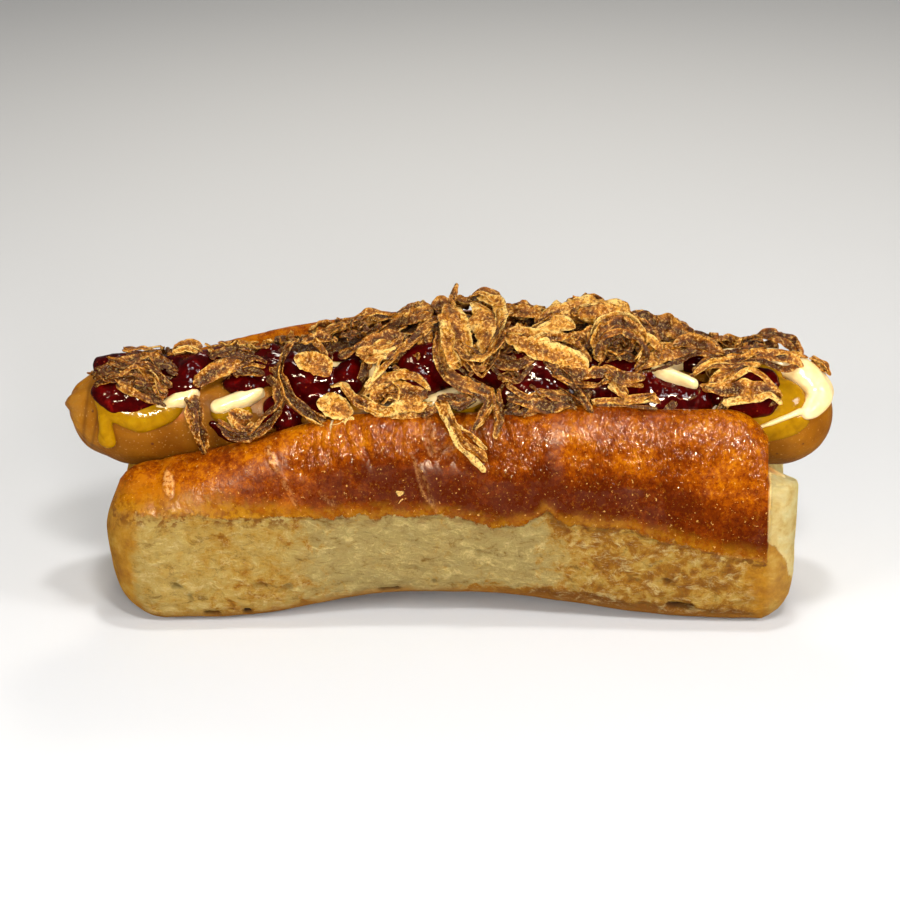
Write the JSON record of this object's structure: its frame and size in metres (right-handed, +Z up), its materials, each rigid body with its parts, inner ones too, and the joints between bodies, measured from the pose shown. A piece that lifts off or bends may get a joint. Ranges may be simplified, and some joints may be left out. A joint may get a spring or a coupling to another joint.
{
  "type": "hot dog",
  "caption": "Soft glazed bun cut along its top, holding a sausage with yellow, cream and red sauces and a heap of crispy fried onions.",
  "frame": {"origin": "under the middle of the hot dog, at the height of the table", "axes": "+X along the sausage, -Y towards the lower front half of the bun, +Z up, out of the cut"},
  "size_m": [0.1831, 0.0519, 0.0757],
  "materials": {
    "bun": "soft, with a satin glaze",
    "sausage": "satin",
    "mustard": "gloss",
    "mayonnaise": "gloss",
    "ketchup": "wet gloss",
    "fried_onions": "matt, slightly oily"
  },
  "bodies": {
    "root": {"bun": "bun", "sausage": "sausage", "mustard": "mustard", "mayonnaise": "mayonnaise", "ketchup": "ketchup", "fried_onions": "fried_onions"}
  },
  "joints": []
}
